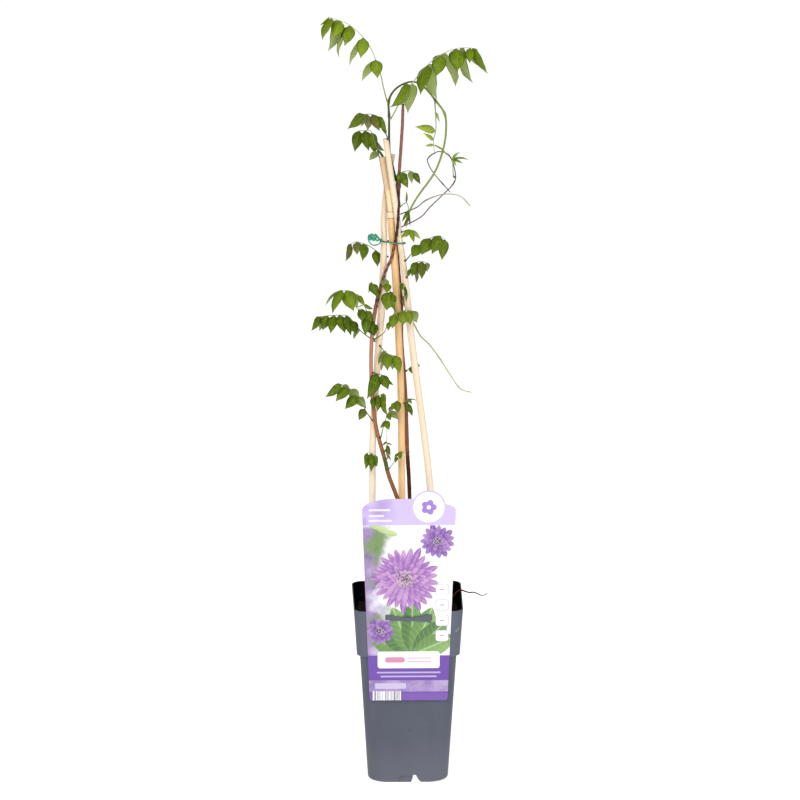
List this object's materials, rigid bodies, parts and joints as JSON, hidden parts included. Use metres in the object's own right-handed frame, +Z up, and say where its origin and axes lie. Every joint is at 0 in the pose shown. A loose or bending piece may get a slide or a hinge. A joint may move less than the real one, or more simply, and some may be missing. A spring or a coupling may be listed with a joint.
{
  "type": "wisteria in a pot",
  "caption": "Young climbing wisteria with drooping feathered leaves, tied to tall canes in a deep square nursery pot with a hang label.",
  "frame": {"origin": "on the floor, on the pot's vertical axis, under the middle of the base", "axes": "+Z up; the label hangs on the -Y side, which is the front; +X is to the right seen from the front"},
  "size_m": [0.1972, 0.1295, 0.8475],
  "materials": {
    "pot_plastic": "satin moulded plastic",
    "soil": "damp peaty compost",
    "cane_cream": "peeled pale cane",
    "cane_gold": "golden bamboo",
    "tie_green": "plastic-covered wire",
    "label_card": "printed card, satin",
    "bark_dark": "rough young bark",
    "bark_brown": "smooth young bark",
    "stem_green": "green shoot",
    "whip": "thin shoot",
    "root": "dry root",
    "leaf_young": "soft bright leaf",
    "leaf_mature": "darker leaf"
  },
  "bodies": {
    "root": {"pot": "pot_plastic", "soil": "soil", "label": "label_card", "tie": "tie_green", "cane_left": "cane_cream", "cane_middle": "cane_gold", "cane_right": "cane_cream", "stem_trunk": "bark_dark", "stem_twining": "bark_brown", "vine_arch": "stem_green", "whip_loop": "whip", "whip_arc": "whip", "runner": "stem_green", "root": "root", "frond_crown_left": "leaf_young", "frond_crown_right": "leaf_young", "frond_vine_shoot": "leaf_young", "frond_shoot_star": "leaf_young", "frond_upper_left": "leaf_mature", "frond_mid_left": "leaf_mature", "frond_trunk_curl": "leaf_mature", "frond_bud_cluster": "leaf_mature", "frond_olive_star": "leaf_mature", "frond_tie_left": "leaf_mature", "frond_tie_right": "leaf_mature", "frond_right_low": "leaf_mature", "frond_crumple_left": "leaf_mature", "frond_front_big": "leaf_young", "frond_mid_shade": "leaf_mature", "frond_upper_bright": "leaf_young", "frond_left_dark": "leaf_mature", "frond_left_spray": "leaf_mature", "frond_right_spray": "leaf_mature", "frond_mid_cluster": "leaf_mature", "frond_twig_right": "leaf_mature", "frond_centre_pair": "leaf_mature", "frond_low_left": "leaf_mature", "frond_centre_low": "leaf_mature", "frond_twig_frond": "leaf_young", "frond_right_leaf": "leaf_mature", "frond_curl_shoot": "leaf_mature", "frond_cane_leaf": "leaf_young", "frond_lowest_left": "leaf_mature"}
  },
  "joints": []
}
